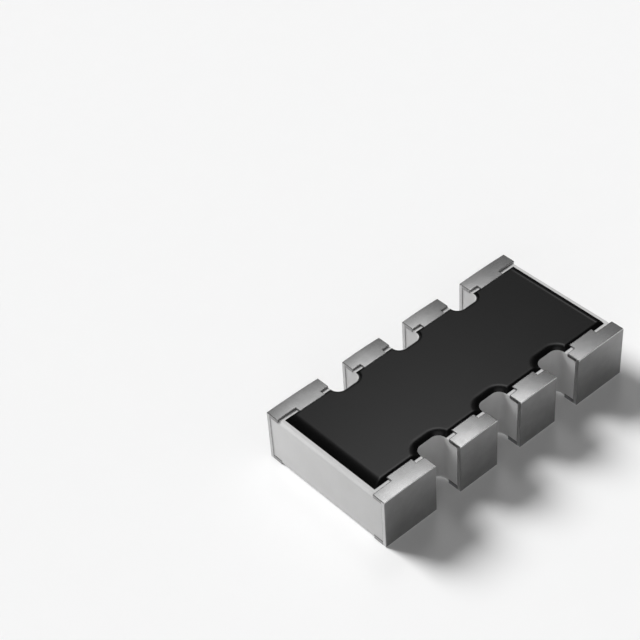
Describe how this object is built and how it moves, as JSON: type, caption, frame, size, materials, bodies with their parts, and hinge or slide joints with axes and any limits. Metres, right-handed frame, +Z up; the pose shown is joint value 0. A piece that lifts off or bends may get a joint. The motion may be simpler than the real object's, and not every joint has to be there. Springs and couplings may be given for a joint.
{
  "type": "resistor network",
  "caption": "Surface-mount resistor network: thick-film resistors on a notched ceramic chip, with tinned wrap-around terminals on both long sides and a black protective coat",
  "frame": {"origin": "Under the middle of the chip, on the plane that the eight terminals stand on", "axes": "+X along the row of terminals, +Y across the chip from the near row to the far row, +Z up through the coated face"},
  "size_m": [0.0032, 0.0016, 0.0006],
  "materials": {
    "ceramic": "fired white alumina, fine matte grain",
    "coat": "black epoxy, satin gloss, smooth",
    "film": "fired dark grey resistor paste",
    "glass": "fired greenish glass",
    "silver": "fired thick-film silver, matte",
    "nickel": "plated nickel, satin",
    "tin": "plated matte tin, fine grain"
  },
  "bodies": {
    "root": {"ceramic_chip": "ceramic", "protective_coat": "coat", "resistor_film_1": "film", "glass_overcoat_1": "glass", "resistor_film_2": "film", "glass_overcoat_2": "glass", "resistor_film_3": "film", "glass_overcoat_3": "glass", "resistor_film_4": "film", "glass_overcoat_4": "glass", "top_electrode_far_1": "silver", "bottom_electrode_far_1": "silver", "edge_silver_far_1": "silver", "nickel_barrier_far_1": "nickel", "tin_plating_far_1": "tin", "top_electrode_far_2": "silver", "bottom_electrode_far_2": "silver", "edge_silver_far_2": "silver", "nickel_barrier_far_2": "nickel", "tin_plating_far_2": "tin", "top_electrode_far_3": "silver", "bottom_electrode_far_3": "silver", "edge_silver_far_3": "silver", "nickel_barrier_far_3": "nickel", "tin_plating_far_3": "tin", "top_electrode_far_4": "silver", "bottom_electrode_far_4": "silver", "edge_silver_far_4": "silver", "nickel_barrier_far_4": "nickel", "tin_plating_far_4": "tin", "top_electrode_near_1": "silver", "bottom_electrode_near_1": "silver", "edge_silver_near_1": "silver", "nickel_barrier_near_1": "nickel", "tin_plating_near_1": "tin", "top_electrode_near_2": "silver", "bottom_electrode_near_2": "silver", "edge_silver_near_2": "silver", "nickel_barrier_near_2": "nickel", "tin_plating_near_2": "tin", "top_electrode_near_3": "silver", "bottom_electrode_near_3": "silver", "edge_silver_near_3": "silver", "nickel_barrier_near_3": "nickel", "tin_plating_near_3": "tin", "top_electrode_near_4": "silver", "bottom_electrode_near_4": "silver", "edge_silver_near_4": "silver", "nickel_barrier_near_4": "nickel", "tin_plating_near_4": "tin"}
  },
  "joints": []
}
